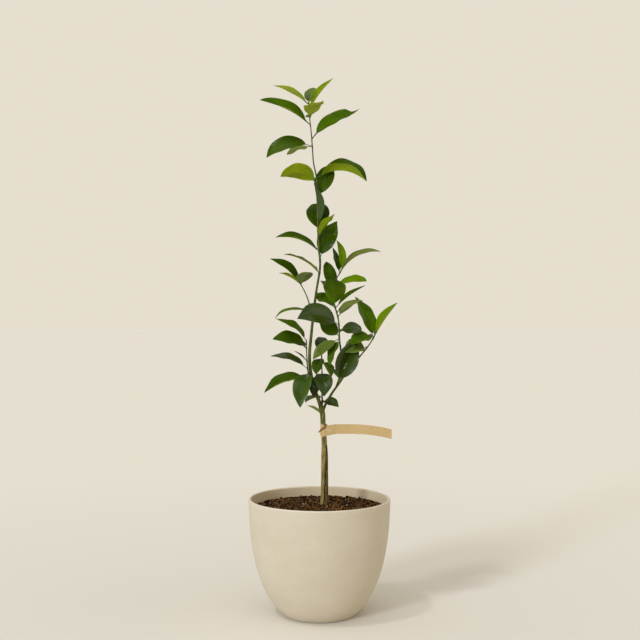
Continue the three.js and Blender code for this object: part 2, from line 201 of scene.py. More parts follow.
def turned(name, outline, materials):
    """A round piece spun from an outline that runs from the axis to the axis."""
    piece = new_piece(name, outline, [], materials, edges=[(i, i + 1) for i in range(len(outline) - 1)])
    bpy.ops.object.mode_set(mode="EDIT")
    bpy.ops.mesh.select_all(action="SELECT")
    bpy.ops.mesh.spin(steps=POT_STEPS, angle=tau, center=(0, 0, 0), axis=(0, 0, 1))
    bpy.ops.mesh.select_all(action="SELECT")
    bpy.ops.mesh.remove_doubles(threshold=SEAM)
    bpy.ops.mesh.normals_make_consistent(inside=False)
    bpy.ops.object.mode_set(mode="OBJECT")
    return piece


def pot_outline(inset):
    """The wall from foot to lip, moved in from its outer face."""
    foot = Vector((FOOT_RADIUS, 0, 0))
    top = Vector((rim_radius, 0, pot_height - LIP_RADIUS))
    points = geometry.interpolate_bezier(foot, BELLY, SHOULDER, top, WALL_RINGS)
    moved = []
    for i, point in enumerate(points):
        along = (points[min(i + 1, WALL_RINGS - 1)] - points[max(i - 1, 0)]).normalized()
        moved.append(point + Vector((-along.z, 0, along.x)) * inset)
    return moved


lip_centre = Vector((rim_radius - LIP_RADIUS, 0, pot_height - LIP_RADIUS))
lip = [lip_centre + Vector((cos(turn), 0, sin(turn))) * LIP_RADIUS for turn in map(radians, LIP_TURN)]
outer = [p for p in pot_outline(0) if p.z > FOOT_ROUNDING]
inner = [p for p in pot_outline(POT_WALL) if p.z > POT_FLOOR + FOOT_ROUNDING]
foot_edge = [
    Vector((FOOT_RADIUS - FOOT_ROUNDING, 0, 0)), Vector((FOOT_RADIUS + FOOT_EDGE[0], 0, FOOT_EDGE[1])),
]
floor_edge = [Vector((inner[0].x - 2 * FOOT_ROUNDING, 0, POT_FLOOR)), Vector((0, 0, POT_FLOOR))]
outline = [Vector((0, 0, 0))] + foot_edge + outer + lip + inner[::-1] + floor_edge


def cast_stone(name, dark, light):
    """Pale stone with faint clouds, fine grains and small pores."""
    made = material(name, light, 0.86, 0.3)
    clouds = cloudy(made, 1, 5, 0.6, (16, 16, 30))
    grains = cloudy(made, 900, 2, 0.7)
    pores = pattern(made, "ShaderNodeTexVoronoi", (1, 1, 1), Scale=260)
    face = ramp(made, clouds, [(0.32, dark), (0.68, light)])
    grain = ramp(made, grains, [(0.35, grey(0.62)), (0.58, grey(1))])
    paint(made, blend(made, 0.3, face, grain))
    pits = ramp(made, pores, [(0.05, grey(0)), (0.16, grey(1))])
    relief(made, pits, 0.1 * MM, relief(made, grains, 0.12 * MM))
    return made


stone = cast_stone("cast stone", rgb(202, 190, 167), rgb(207, 196, 174))
# A warmer, yellower stone for the inside of the wall from 175 mm up to the lip.
warm_inner_stone = cast_stone("warmer inner stone", rgb(202, 184, 150), rgb(210, 192, 158))
# Paler stone for the top of the lip: a painted highlight.
lip_highlight = cast_stone("lip painted highlight", rgb(218, 204, 182), rgb(226, 212, 190))
pot = turned("stone_pot", outline, [stone, warm_inner_stone, lip_highlight])
uneven = bpy.data.textures.new("hand finish", "CLOUDS")
uneven.noise_scale = UNEVEN_SIZE
press = pot.modifiers.new("hand finish", "DISPLACE")
press.texture = uneven
press.strength = UNEVEN_DEPTH
bpy.ops.object.modifier_apply(modifier=press.name)
for vertex in pot.data.vertices:
    if vertex.co.z < FLAT_TO:
        vertex.co.z = 0
for face in pot.data.polygons:
    inside = hypot(face.center.x, face.center.y) < rim_radius - 0.8 * POT_WALL
    face.material_index = WARM_INNER if inside and face.center.z > WARM_INNER_FROM else STONE
    # The faces along the top of the lip get the paler stone, which is a painted highlight.
    if face.center.z > pot_height - 0.5 * LIP_RADIUS:
        face.material_index = LIP_HIGHLIGHT
smooth(pot)
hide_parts("pot")
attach(pot, "root")

# Soil: dark crumbly potting mix that fills the pot to two fingers under its lip and is drawn up
# a little round the trunk. Clods stand along the wall, with chips of bark and white perlite on top.
SOIL_GAP = 0.4 * MM
SOIL_ROUNDING = 2 * MM
SOIL_EDGE = 187.5 * MM
SOIL_CROWN = 194.9 * MM
SOIL_PATCH = 11 * MM
MOUND_SPREAD = 42 * MM
SOIL_RINGS = 62
SOIL_SEED = 5
TRUNK_FOOT = Vector((8.8, 0, 195)) * MM
CLODS_FROM = 0.8
CLODS = (0.9 * MM, 2.6 * MM)
CLODS_PER_M = 75
FINE_CLODS = 0.7 * MM
FINE_CLODS_PER_M = 330
CRUMBS = 4600
CRUMB_SIZE = (0.6 * MM, 2.4 * MM)
MOSTLY_SMALL = 2.6
CLEAR_OF_WALL = 2.5 * MM
CLEAR_OF_TRUNK = 8.5 * MM
LARGER_FROM = 0.86
LARGER = (1, 1.7)
HUMUS, PEAT, CHIP, PERLITE = range(4)
HUMUS_SHARE = 0.5
PERLITE_SHARE = 0.055
CHIP_SHARE = 0.09
BROWN_SIZE = 0.65
PERLITE_SIZE = 0.8
CRUMB_SHAPE = Vector((1, 0.8, 0.7))
CHIP_SHAPE = Vector((1.5, 0.7, 0.45))
CHIP_LEAN = 0.5
CRUMB_CORNERS = (0.72, 1.2)
CRUMB_PROUD = 0.3


def draws(seed):
    """The same row of draws from 0 to 1 each time, for a given seed."""
    state = seed
    while True:
        state = (state * 1664525 + 1013904223) % 2**32
        yield state / 2**32


def mix(low, high, share):
    return low + (high - low) * share


def soil_height(x, y):
    """How high the soil lies: the mound and its clods, large and small."""
    out = max(0, hypot(x - TRUNK_FOOT.x, y - TRUNK_FOOT.y) - SOIL_PATCH) / MOUND_SPREAD
    level = mix(SOIL_EDGE, SOIL_CROWN, exp(-out * out))
    edge = max(0, hypot(x, y) / soil_radius - CLODS_FROM) / (1 - CLODS_FROM)
    clods = noise.fractal(Vector((x, y, 0)) * CLODS_PER_M, 1.0, 2.0, 3) * mix(*CLODS, edge)
    fine_clods = noise.noise(Vector((x, y, 0.3)) * FINE_CLODS_PER_M) * FINE_CLODS
    return level + (clods + fine_clods) * min(1, out * 3 + 0.25)


wall = [
    p for p in pot_outline(POT_WALL + SOIL_GAP) if POT_FLOOR + SOIL_ROUNDING < p.z < SOIL_EDGE - SOIL_ROUNDING
]
soil_radius = wall[-1].x
soil_floor = POT_FLOOR + SOIL_GAP
under = [Vector((0, 0, soil_floor)), Vector((wall[0].x - SOIL_ROUNDING, 0, soil_floor))]
top = [Vector((soil_radius * (1 - i / SOIL_RINGS), 0, SOIL_EDGE)) for i in range(SOIL_RINGS + 1)]

earth = material("potting soil", rgb(58, 38, 18), 0.95, 0.1)
damp = cloudy(earth, 95, 6, 0.75)
specks = cloudy(earth, 520, 3, 0.8)
tone = ramp(earth, damp, [
    (0.38, rgb(26, 15, 4)), (0.52, rgb(84, 56, 22)), (0.64, rgb(144, 104, 48)),
])
speck_tone = ramp(earth, specks, [(0.4, grey(0.3)), (0.6, grey(1.35))])
paint(earth, blend(earth, 0.7, tone, speck_tone))
relief(earth, specks, 1.2 * MM, relief(earth, damp, 3 * MM))

soil = turned("potting_soil", under + wall + top, [earth])
for vertex in soil.data.vertices:
    if vertex.co.z > SOIL_EDGE - SOIL_ROUNDING / 4:
        vertex.co.z = soil_height(vertex.co.x, vertex.co.y)
smooth(soil, 50)
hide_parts("soil")
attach(soil, "root")


def shifted(base, share):
    """A colour made lighter or darker by a share."""
    return [part * (1 + share) for part in base[:3]] + [1]


def plain_grit(name, base, roughness, spread, scale):
    """Matt grit with a cloudy tone, lighter and darker by a spread."""
    made = material(name, base, roughness, 0.1)
    spots = cloudy(made, scale, 4, 0.7)
    paint(made, ramp(made, spots, [(0.35, shifted(base, -spread)), (0.65, shifted(base, spread))]))
    relief(made, spots, 0.3 * MM)
    return made


humus = plain_grit("dark crumb", rgb(34, 20, 7), 0.96, 0.6, 700)
peat = plain_grit("brown crumb", rgb(138, 94, 42), 0.94, 0.6, 700)
chip = plain_grit("bark chip", rgb(128, 92, 54), 0.9, 0.5, 420)
perlite = plain_grit("perlite", rgb(214, 205, 180), 0.9, 0.12, 700)

bpy.ops.mesh.primitive_ico_sphere_add(subdivisions=1, radius=1)
seed_grain = bpy.context.object
grain_points = [vertex.co.copy() for vertex in seed_grain.data.vertices]
grain_faces = [tuple(face.vertices) for face in seed_grain.data.polygons]
bpy.data.objects.remove(seed_grain)
draw = draws(SOIL_SEED)
points, faces, slots = [], [], []
for i in range(CRUMBS):
    kind = next(draw)
    reach = sqrt(next(draw)) * (soil_radius - CLEAR_OF_WALL)
    angle = next(draw) * tau
    size = mix(*CRUMB_SIZE, next(draw) ** MOSTLY_SMALL)
    x, y = reach * cos(angle), reach * sin(angle)
    if hypot(x - TRUNK_FOOT.x, y - TRUNK_FOOT.y) < CLEAR_OF_TRUNK:
        continue
    if reach > LARGER_FROM * soil_radius:
        size *= mix(*LARGER, next(draw))
    shape = CRUMB_SHAPE
    slot = HUMUS if kind < HUMUS_SHARE else PEAT
    size *= 1 if slot == HUMUS else BROWN_SIZE
    if kind > 1 - PERLITE_SHARE:
        slot, size = PERLITE, size * PERLITE_SIZE
    elif kind > 1 - PERLITE_SHARE - CHIP_SHARE:
        slot, shape = CHIP, CHIP_SHAPE
    turn = Euler([next(draw) * tau for _ in range(3)]).to_matrix()
    if slot == CHIP:
        lean = (next(draw) * CHIP_LEAN, next(draw) * CHIP_LEAN)
        turn = Euler((*lean, next(draw) * tau)).to_matrix()
    centre = Vector((x, y, soil_height(x, y) + size * CRUMB_PROUD))
    start = len(points)
    for point in grain_points:
        shaped = point * mix(*CRUMB_CORNERS, next(draw))
        points.append(centre + turn @ Vector(a * b * size for a, b in zip(shaped, shape)))
    faces += [tuple(start + index for index in face) for face in grain_faces]
    slots += [slot] * len(grain_faces)
crumbs = new_piece("soil_crumbs", points, faces, [humus, peat, chip, perlite], slots)
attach(crumbs, "root")

# Trunk and boughs: young wood with thin green-brown bark in long streaks, thicker below the graft,
# with one long dry furrow up the stock. The furrow is painted nearly black as painted shadow, and
# the brown bark right of it is dry bark with painted shade. The boughs leave at the graft, and the
# trunk runs on.
ROOT_FLARE = 1.2 * MM
ROOT_FLARE_RISE = 11 * MM
STOCK_THICKER = 1.2 * MM
STOCK_STEPS = ((275 * MM, 310 * MM), (330 * MM, 380 * MM))
FORK_HEIGHT = 361 * MM
FORK_SWELL = 1.1 * MM
FORK_SWELL_RISE = 15 * MM
FURROW_FACES = (-110, -50)
FURROW_WIDE = 13
FURROW_DEPTH = 2 * MM
FURROW_TOP = 306 * MM
FURROW_CLOSES = 45 * MM
DRY_BARK_AND_SHADE_TO = 25
FLARE_LOBES = 3
GRAFT_BARK = (318 * MM, 345 * MM)
GREEN_BARK = (366 * MM, 400 * MM)
TRUNK_RELIEF = (1 * MM, 0.5 * MM)
BOUGH_RELIEF = 0.45 * MM
STREAKS_PER_M = 48
WARTS_PER_M = 900
# How the furrow wanders: where each wave is read, how often it comes in a metre, and its degrees
WANDERS = ((5, 60, 9), (9, 260, 6))
WAY_PARTS = 600
TRUNK = {
    "way": [(8.8, 0, 195), (9, 0, 207), (9.3, 0, 240), (9.3, 0, 275), (8.8, 0, 305), (6.6, 0, 337),
            (4.6, 0, 362), (-7.5, 0, 398), (-15.5, 0, 430), (-17.7, 0, 460), (-14.3, 0, 502),
            (-8.8, 2, 552), (-5.4, 3, 577)],
    "radius": (4.2, 2.1),
}
RIGHT_BOUGH = {
    "way": [(5, 0, 358), (12, -2, 376), (22, -4, 393), (34, -5, 410)],
    "radius": (2.5, 1.9),
}
CENTRE_BOUGH = {
    "way": [(30, -4.7, 404.6), (35, -4, 420), (39, 0, 446), (38.4, 2, 470), (36, 2, 487)],
    "radius": (1.8, 1.5),
}


def way_point(way, share):
    """The point at a share of a smooth way through given points."""
    at = (len(way) - 1) * share
    i = min(int(at), len(way) - 2)
    p1, p2 = way[i], way[i + 1]
    p0 = way[i - 1] if i else p1 * 2 - p2
    p3 = way[i + 2] if i + 2 < len(way) else p2 * 2 - p1
    d0, d1, d2 = (sqrt((b - a).length) for a, b in ((p0, p1), (p1, p2), (p2, p3)))
    t1 = ((p1 - p0) / d0 - (p2 - p0) / (d0 + d1) + (p2 - p1) / d1) * d1
    t2 = ((p2 - p1) / d1 - (p3 - p1) / (d1 + d2) + (p3 - p2) / d2) * d1
    w = at - i
    return p1 + t1 * w + (p2 * 3 - p1 * 3 - t1 * 2 - t2) * w**2 + (p1 * 2 - p2 * 2 + t1 + t2) * w**3


def joint_at(way, height):
    """The point of a stem at a given height, found by halving."""
    low, high = 0, 1
    while high - low > 1e-6:
        middle = (low + high) / 2
        if way_point(way, middle).z < height:
            low = middle
        else:
            high = middle
    return way_point(way, low)


def way_of(limb):
    return [Vector(point) * MM for point in limb["way"]]


def even_steps(way, step):
    """Points at even distances along a way, each with its direction and its share of the length."""
    fine = [way_point(way, i / WAY_PARTS) for i in range(WAY_PARTS + 1)]
    lengths = [0]
    for a, b in zip(fine, fine[1:]):
        lengths.append(lengths[-1] + (b - a).length)
    count = max(4, ceil(lengths[-1] / step))
    steps = []
    k = 0
    for i in range(count + 1):
        goal = lengths[-1] * i / count
        while k < WAY_PARTS - 1 and lengths[k + 1] < goal:
            k += 1
        part = (goal - lengths[k]) / (lengths[k + 1] - lengths[k])
        steps.append((fine[k].lerp(fine[k + 1], part), (fine[k + 1] - fine[k]).normalized(), i / count))
    return steps


def skin(rings, points, faces):
    """Adds a closed surface over rings, which end in single points."""
    starts = []
    for ring in rings:
        starts.append(len(points))
        points += ring
    around = len(rings[1])
    last = len(rings) - 1
    for j in range(around):
        k = (j + 1) % around
        faces.append((starts[0], starts[1] + k, starts[1] + j))
        for low, high in zip(starts[1:last - 1], starts[2:last]):
            faces.append((low + j, low + k, high + k, high + j))
        faces.append((starts[last], starts[last - 1] + j, starts[last - 1] + k))


def limb_rings(way, step, sides, thickness):
    """Rings round a limb, each point set out by a thickness that knows its angle and place."""
    steps = even_steps(way, step)
    rings = [[steps[0][0]]]
    for centre, along, share in steps:
        across = along.cross(Vector((0, 1, 0))).normalized()
        other = along.cross(across)
        ring = []
        for j in range(sides):
            angle = tau * j / sides
            out = across * cos(angle) + other * sin(angle)
            ring.append(centre + out * thickness(centre, out, share))
        rings.append(ring)
    rings.append([steps[-1][0]])
    return rings


def bark_relief(centre, out, depth):
    """Long shallow furrows and small warts in the bark."""
    streak = noise.fractal(Vector((out.x * 2.6, out.y * 2.6, centre.z * STREAKS_PER_M)), 1.0, 2.2, 3)
    wart = noise.noise(Vector((out.x * 3, out.y * 3, centre.z * WARTS_PER_M))) ** 3
    return (streak * 0.3 + wart * 0.55) * depth


def furrow_side(centre, out):
    """How far round the stock a place is from the furrow, in degrees, to the right where above 0."""
    round_trunk = degrees(atan2(out.y, out.x))
    up = min((centre.z - TRUNK_FOOT.z) / (FURROW_TOP - TRUNK_FOOT.z), 1)
    wander = sum(noise.noise(Vector((0, at, centre.z * per_m))) * wide for at, per_m, wide in WANDERS)
    return round_trunk - mix(*FURROW_FACES, max(up, 0) ** 0.8) - wander


def furrow_share(centre):
    """How open the furrow is at a height: it closes below the tag."""
    return min(max((FURROW_TOP - centre.z) / FURROW_CLOSES, 0), 1)


def fading(height, start, end):
    """A share that fades smoothly from 1 to 0 between two heights."""
    up = min(max((height - start) / (end - start), 0), 1)
    return 1 - up * up * (3 - 2 * up)


def trunk_thickness(centre, out, share):
    flare = ROOT_FLARE * exp(-(centre.z - TRUNK_FOOT.z) / ROOT_FLARE_RISE)
    lobes = 1 + 0.35 * sin(FLARE_LOBES * atan2(out.y, out.x) + 0.6)
    swell = FORK_SWELL * exp(-(((centre.z - FORK_HEIGHT) / FORK_SWELL_RISE) ** 2))
    stock = STOCK_THICKER * sum(fading(centre.z, start, end) for start, end in STOCK_STEPS)
    plain = mix(*TRUNK["radius"], share) * MM
    furrow = FURROW_DEPTH * furrow_share(centre) * exp(-((furrow_side(centre, out) / FURROW_WIDE) ** 2))
    uneven_bark = bark_relief(centre, out, mix(*TRUNK_RELIEF, share))
    return plain + stock + flare * lobes + swell - furrow + uneven_bark


def bough_thickness(limb):
    return lambda centre, out, share: (
        mix(*limb["radius"], share) * MM + bark_relief(centre, out, BOUGH_RELIEF)
    )


bark = material("young bark", rgb(138, 122, 70), 0.8, 0.25)
streaks = cloudy(bark, 1, 5, 0.7, (560, 560, 46))
fine = cloudy(bark, 1, 3, 0.6, (1300, 1300, 300))
low_bark = ramp(bark, streaks, [
    (0.36, rgb(84, 66, 28)), (0.44, rgb(120, 100, 50)), (0.53, rgb(148, 130, 70)),
    (0.64, rgb(176, 158, 96)),
])
graft_bark = ramp(bark, streaks, [
    (0.36, rgb(58, 36, 26)), (0.45, rgb(76, 66, 24)), (0.55, rgb(102, 106, 40)),
    (0.66, rgb(150, 146, 84)),
])
green_bark = ramp(bark, streaks, [
    (0.36, rgb(34, 40, 10)), (0.46, rgb(58, 68, 18)), (0.56, rgb(86, 98, 34)),
    (0.66, rgb(128, 134, 64)),
])
height = split_place(bark, bark.node_tree.nodes.new("ShaderNodeTexCoord").outputs["Object"])["Z"]
tone = low_bark
for above, (start, end) in ((graft_bark, GRAFT_BARK), (green_bark, GREEN_BARK)):
    rise = bark.node_tree.nodes.new("ShaderNodeMapRange")
    for socket, value in (("From Min", start), ("From Max", end), ("Value", height)):
        feed(bark, value, rise.inputs[socket])
    tone = blend(bark, rise.outputs["Result"], tone, above, "MIX")
fine_tone = ramp(bark, fine, [(0.36, grey(0.5)), (0.62, grey(1.2))])
paint(bark, blend(bark, 0.7, tone, fine_tone))
relief(bark, fine, 0.2 * MM, relief(bark, streaks, 0.5 * MM))


def dark_streaked_bark(name, dark, middle, light):
    """Dark brown streaks, for dry bark and for painted shadow."""
    made = material(name, middle, 0.9, 0.15)
    strands = cloudy(made, 1, 5, 0.7, (700, 700, 60))
    paint(made, ramp(made, strands, [(0.36, dark), (0.5, middle), (0.64, light)]))
    relief(made, strands, 0.5 * MM)
    return made


# The furrow's near-black finish is painted shadow. The brown finish right of it is dry bark with painted
# shade.
LIVE_BARK, FURROW_SHADOW, DRY_BARK_AND_SHADE = range(3)
furrow_shadow = dark_streaked_bark("furrow", rgb(6, 4, 1), rgb(16, 10, 4), rgb(34, 24, 10))
dry_bark_and_shade = dark_streaked_bark("dry bark and painted shade", rgb(56, 40, 18), rgb(92, 74, 38), rgb(134, 114, 68))


def bark_slot(face):
    """Green bark, the furrow painted dark as shadow, or the brown bark right of it, which is dry bark with
    painted shade.
    """
    centre = face.center
    middle = joint_at(way_of(TRUNK), centre.z)
    side = furrow_side(centre, centre - middle)
    around = degrees(atan2(centre.y - middle.y, centre.x - middle.x))
    if side < -0.5 * FURROW_WIDE or around > DRY_BARK_AND_SHADE_TO or furrow_share(centre) < 0.1:
        return LIVE_BARK
    return FURROW_SHADOW if side < FURROW_WIDE * mix(0.4, 1, furrow_share(centre)) else DRY_BARK_AND_SHADE


for name, limb, step, sides, thickness in (
    ("trunk", TRUNK, 1.5 * MM, 40, trunk_thickness),
    ("right_bough", RIGHT_BOUGH, 1.2 * MM, 22, bough_thickness(RIGHT_BOUGH)),
    ("centre_bough", CENTRE_BOUGH, 1.2 * MM, 18, bough_thickness(CENTRE_BOUGH)),
):
    points, faces = [], []
    skin(limb_rings(way_of(limb), step, sides, thickness), points, faces)
    piece = new_piece(name + "_bark", points, faces, [bark, furrow_shadow, dry_bark_and_shade])
    if limb is TRUNK:
        for face in piece.data.polygons:
            face.material_index = bark_slot(face) if face.center.z < FURROW_TOP else LIVE_BARK
    smooth(piece, 60)
    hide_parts(name)
    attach(piece, "root")

# Shoots: green young stems that grow on from the trunk and the boughs, angular, with a bud at each
# joint. Each leaf stands on a short stalk, folds up along its rib, arches over and ends in a point.
STALK_SHARE = (0.104, 0.156)
STALK_RADIUS = 0.7 * MM
FOLD = (12, 28)
SWEEP = 16
WIDEST = 0.44
FULLNESS = 0.72
LEAF_THICKNESS = 0.35 * MM
LINE_STEPS = 16
EDGE_WAVES = (1.3, 2.7)
EDGE_SWING = (0.015, 0.035)
RIB_SUNK = 0.12 * MM
STEM_STEP = 1.5 * MM
STEM_SIDES = 12
STEM_RIDGES = 3
STEM_TURNS = 60
RIDGE_SHARE = 0.07
JOINT_SWELL = 0.3 * MM
JOINT_SPREAD = 1.6 * MM
BUD_LONG = 2.6 * MM
BUD_RINGS = ((0.1, 0.6), (0.35, 0.9), (0.65, 0.7), (0.9, 0.3))
BUD_SIDES = 8
BUD_UP = 1.2 * MM
BUD_LEAN = 0.45
VEINS = 10
VEIN_SLANT = 0.62
STALK_RINGS = ((0, 1.5), (0.1, 1.15), (0.35, 0.9), (0.8, 0.9), (1, 1))
BLADE_RINGS = 34
STATIONS = [0.5 - 0.5 * cos(pi * i / BLADE_RINGS) for i in range(1, BLADE_RINGS)]
RIB = 0.45 * MM
ACROSS = (1, 0.9, 0.74, 0.54, 0.32)
COLUMNS = 2 * (len(ACROSS) + 1)
TIP_FROM = 0.7
HOOK = (0.05, 0.5)
TWIST = 14
FAR_NEAREST = 55
FAR_LENGTH = (0.8, 1)
FAR_WIDTH = 0.9
FAR_DROP = (0, 2)
FAR_LOWEST = 3
FAR_ROLL = 40
EYE_LEVEL = 529
EYE_DISTANCE = 1775
LIMB_STEP = 0.5 * MM
LIMB_MARKS = 24
LIMB_ROOM = 2 * MM
LEAF_MARKS = (0.4, 0.6, 0.8, 1)
LEAF_ROOM = 0.35

# The face and the back of a leaf by its age, with painted light and shade by how lit it was seen, and how
# much gloss its face has
LEAF_TONES = {
    "young": ((122, 146, 12), (152, 168, 50), 0.05),
    "fresh": ((92, 118, 1), (124, 142, 14), 0.05),
    "mid": ((66, 93, 1), (116, 134, 20), 0.06),
    "deep": ((52, 74, 1), (122, 142, 18), 0.07),
    "wet": ((48, 72, 1), (110, 130, 20), 0.3),
    "blue": ((48, 64, 12), (88, 104, 46), 0.32),
    "grey": ((90, 107, 36), (110, 124, 62), 0.12),
    "green": ((64, 92, 1), (70, 94, 6), 0.06),
    "dull": ((60, 77, 28), (62, 78, 40), 0.14),
    "pale": ((120, 138, 60), (150, 168, 90), 0.12),
}

# How a leaf holds itself: how far its tip turns up as a share of its length, how wavy its edge is,
# how much more its halves fold up in degrees, how drawn out its tip is, and how thin its hook is
HABITS = {
    "even": (0, 1, 0, 0.35, 0),
    "upturned": (0.075, 1.3, 4, 0.6, 0),
    "nodding": (-0.06, 1, 0, 0.5, 0),
    "wavy": (0.03, 2.2, 3, 0.4, 0),
    "folded": (0.02, 1.2, 22, 0.4, 0),
    "blunt": (0, 0.8, 0, -0.5, 0),
    "broad": (0.02, 1.5, 14, -0.15, 0),
    "hooked": (0.085, 1.1, 6, -0.9, 0.62),
    "long": (0.01, 0.8, 6, 0.65, 0),
}

# Each shoot: its stem in millimetres and its thickness, and for each leaf that shows from the
# front the height of its joint, its bearing, rise, length, width, arch, roll, and tone and habit
LEADER = {"seed": 11, "radius": (2.1, 0.8), "way": [
    (-5.3, 3, 577.4), (0.4, 5, 614), (1, 5, 630), (-1, 4, 652), (-2.5, 3, 690), (-4.5, 2, 754),
    (-5.5, 1, 782), (-10.5, 0, 806), (-13, 0, 838), (-14.5, 0, 858), (-17.2, 0, 884), (-19.3, 0, 916),
], "leaves": [
    (911, 189, 25, 72, 24, 34, -10, "young even"),
    (900, 6, 52, 73, 20, 25, 30, "fresh folded"),
    (912, 73, 52, 44, 24, 30, 0, "grey blunt"),
    (887, 292, 17, 54, 38, 44, -5, "young wavy"),
    (874, 187, 23, 101, 38, 35, 38, "mid broad"),
    (849, 355, 26, 100, 32, 52, -58, "mid hooked"),
    (835, 186, -17, 92, 38, 80, 45, "deep even"),
    (836, 150, -14, 56, 34, 30, 0, "pale wavy"),
    (769, 206, 4, 78, 38, 80, -46, "fresh blunt"),
    (779, 350, -9, 100, 56, 85, -15, "deep folded"),
    (741, 28, 63, 74, 36, 20, -60, "deep even"),
    (693, 244, 77, 78, 30, 30, 50, "dull folded"),
    (684, 90, 51, 70, 47, 25, 0, "deep blunt"),
    (672, 320, 43, 54, 22, 40, 0, "deep upturned"),
    (633, 28, 62, 78, 38, 25, -60, "deep wavy"),
    (648, 191, 15, 86, 38, 54, 25, "deep even"),
    (609, 187, 26, 74, 30, 45, 0, "mid even"),
]}
LEFT_UPPER = {"seed": 23, "radius": (1.4, 0.9), "way": [
    (-11.4, 1, 527), (-15, -4, 542), (-22.5, -6, 567), (-34, -7, 590),
], "leaves": [
    (587, 191, 38, 74, 36, 34, 32, "deep long"),
    (588, 207, 24, 48, 18, 30, 0, "mid even"),
    (588, 294, 27, 44, 30, 20, 0, "grey blunt"),
    (538, 188, -8, 70, 20, 60, 5, "mid nodding"),
]}
LEFT_LOWER = {"seed": 37, "radius": (1.4, 0.9), "way": [
    (-14.5, 0, 417), (-19.5, -4, 428), (-22.5, -5, 456), (-23, -5, 488),
], "leaves": [
    (486, 195, 31, 70, 34, 60, 32, "mid upturned"),
    (474, 194, 11, 68, 32, 70, 45, "deep wavy"),
    (451, 168, 37, 30, 10, 20, 0, "mid even"),
    (437, 170, 16, 74, 28, 50, 15, "blue long"),
    (420, 190, -19, 90, 38, 46, 25, "deep folded"),
    (430, 255, -50, 85, 36, 80, 0, "wet even"),
]}
INNER = {"seed": 41, "radius": (1.5, 0.9), "way": [
    (5, 0, 364), (5, 3, 376), (4.5, 6, 400), (4.5, 6, 430), (4, 6, 464),
], "leaves": [
    (385, 137, -16, 45, 26, 40, 0, "blue even"),
    (426, 248, -46, 57, 26, 60, 0, "blue even"),
    (430, 274, -44, 62, 34, 60, 0, "blue even"),
    (460, 90, 39, 52, 28, 30, 0, "blue blunt"),
    (457, 256, -40, 50, 24, 50, 0, "deep wavy"),
    (450, 63, -40, 50, 22, 50, 0, "green even"),
    (378, 324, -14, 38, 20, 50, -45, "blue even"),
]}
CENTRE = {"seed": 53, "radius": (1.5, 0.9), "way": [
    (35.9, 2, 487.4), (34, 1, 524), (26, 0, 556), (24.5, 0, 576), (27, 0, 592), (38.5, 2, 612),
], "leaves": [
    (575, 118, 64, 62, 26, 20, 0, "deep blunt"),
    (491, 204, -36, 64, 28, 24, 24, "grey even"),
    (490, 230, -62, 56, 24, 40, 0, "mid wavy"),
    (505, 343, -4, 44, 26, 60, -50, "blue blunt"),
    (515, 211, 5, 92, 46, 66, 60, "blue long"),
    (495, 147, 30, 50, 28, 20, 60, "deep even"),
    (608, 135, 70, 51, 20, 10, 0, "deep even"),
    (611, 200, 80, 60, 14, 60, 105, "fresh even"),
    (611, 354, 24, 86, 26, 70, 15, "grey even"),
    (584, 325, 6, 72, 30, 30, -30, "fresh blunt"),
    (545, 150, 30, 50, 38, 30, 20, "mid wavy"),
    (548, 258, 50, 62, 50, 30, 0, "green broad"),
    (568, 122, 33, 52, 24, 30, 0, "deep even"),
    (546, 349, 35, 68, 20, 25, 5, "green folded"),
    (537, 32, 32, 46, 12, 30, 0, "deep even"),
    (530, 336, 30, 58, 26, 40, 24, "grey even"),
]}
RIGHT = {"seed": 67, "radius": (1.8, 1.0), "way": [
    (34.2, -5, 410.4), (47, -1, 428), (65, 3, 450), (85, 5, 474), (98.5, 6, 494),
], "leaves": [
    (411, 358, 67, 86, 56, 16, -94, "blue folded"),
    (416, 128, 36, 38, 15, 20, 0, "grey even"),
    (474, 208, -12, 48, 38, 50, 44, "grey wavy"),
    (492, 212, -15, 52, 34, 50, 35, "mid even"),
    (492, 142, 61, 86, 42, 20, 10, "green even"),
    (493, 353, 55, 75, 32, 15, -25, "fresh folded"),
]}
# A small leaf that stands out of the bark of the trunk below the fork
FORK_LEAF = (355, 192, 30, 33, 13, 20, -25, "grey even")
SHOOTS = {"leader": LEADER, "left_upper": LEFT_UPPER, "left_lower": LEFT_LOWER,
          "inner": INNER, "centre": CENTRE, "right": RIGHT}


def leaf_line(joint, row, sweep):
    """The line of a leaf from its joint to its tip, with the blade's side and upper directions."""
    bearing, rise, long, arch, roll = row[1], row[2], row[3] * MM, row[5], radians(row[6])
    place = joint.copy()
    line = []
    for i in range(LINE_STEPS + 1):
        share = i / LINE_STEPS
        turn = radians(bearing + sweep * (share - 0.5))
        lift = radians(rise + arch * (0.5 - share))
        along = Vector((cos(lift) * cos(turn), cos(lift) * sin(turn), sin(lift)))
        level = Vector((sin(turn), -cos(turn), 0))
        side = level * cos(roll) + level.cross(along) * sin(roll)
        line.append((place.copy(), side, side.cross(along)))
        place += along * long / LINE_STEPS
    return line


def on_line(line, share):
    """The place, side and upper directions at a share of a leaf's line."""
    at = min(share, 1) * LINE_STEPS
    low = min(int(at), LINE_STEPS - 1)
    side, up = (line[low][k].lerp(line[low + 1][k], at - low).normalized() for k in (1, 2))
    return way_point([step[0] for step in line], min(share, 1)), side, up


def leaf_of(way, row, draw):
    stalk = mix(*STALK_SHARE, next(draw))
    sweep = SWEEP * (next(draw) - 0.5)
    fold = mix(*FOLD, next(draw))
    line = leaf_line(joint_at(way, row[0] * MM), row, sweep)
    tone, habit = row[7].split()
    return {"line": line, "long": row[3] * MM, "wide": row[4] * MM, "stalk": stalk, "fold": fold,
            "tone": tone, "habit": habit}


